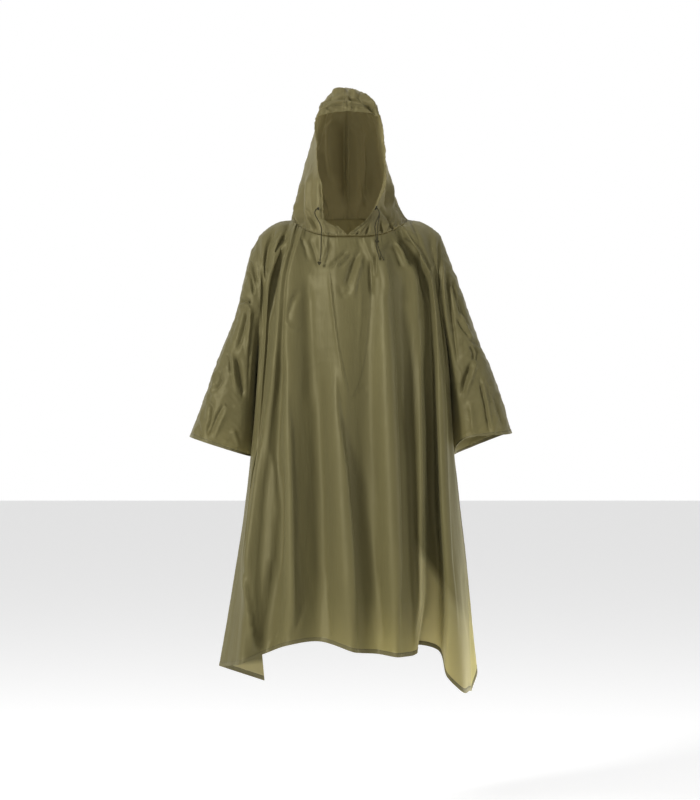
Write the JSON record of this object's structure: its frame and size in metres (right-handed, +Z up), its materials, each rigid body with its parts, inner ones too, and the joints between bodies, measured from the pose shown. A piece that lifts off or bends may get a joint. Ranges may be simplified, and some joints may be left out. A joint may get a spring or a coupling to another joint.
{
  "type": "rain_poncho",
  "caption": "Hooded rain poncho in olive coated nylon with short wide sleeves, hood drawcord and a neck flap, in its worn form with no wearer.",
  "frame": {"origin": "between the wearer's shoulders at the root of the neck, where the worn poncho is held", "axes": "+X to the right as seen from the front, +Y to the back, +Z up; the front faces -Y"},
  "size_m": [0.775, 0.4597, 1.4455],
  "materials": {
    "cloth": "satin coated nylon",
    "cord": "matte braid",
    "metal": "dark painted"
  },
  "bodies": {
    "root": {"front_panel": "cloth", "back_panel": "cloth", "front_flap": "cloth", "sleeve_left": "cloth", "sleeve_right": "cloth", "hood_left": "cloth", "hood_right": "cloth", "eyelet_left": "metal", "eyelet_right": "metal", "cord_left": "cord", "cord_right_a": "cord", "cord_right_b": "cord", "knot_left": "cord", "knot_right": "cord"}
  },
  "joints": []
}
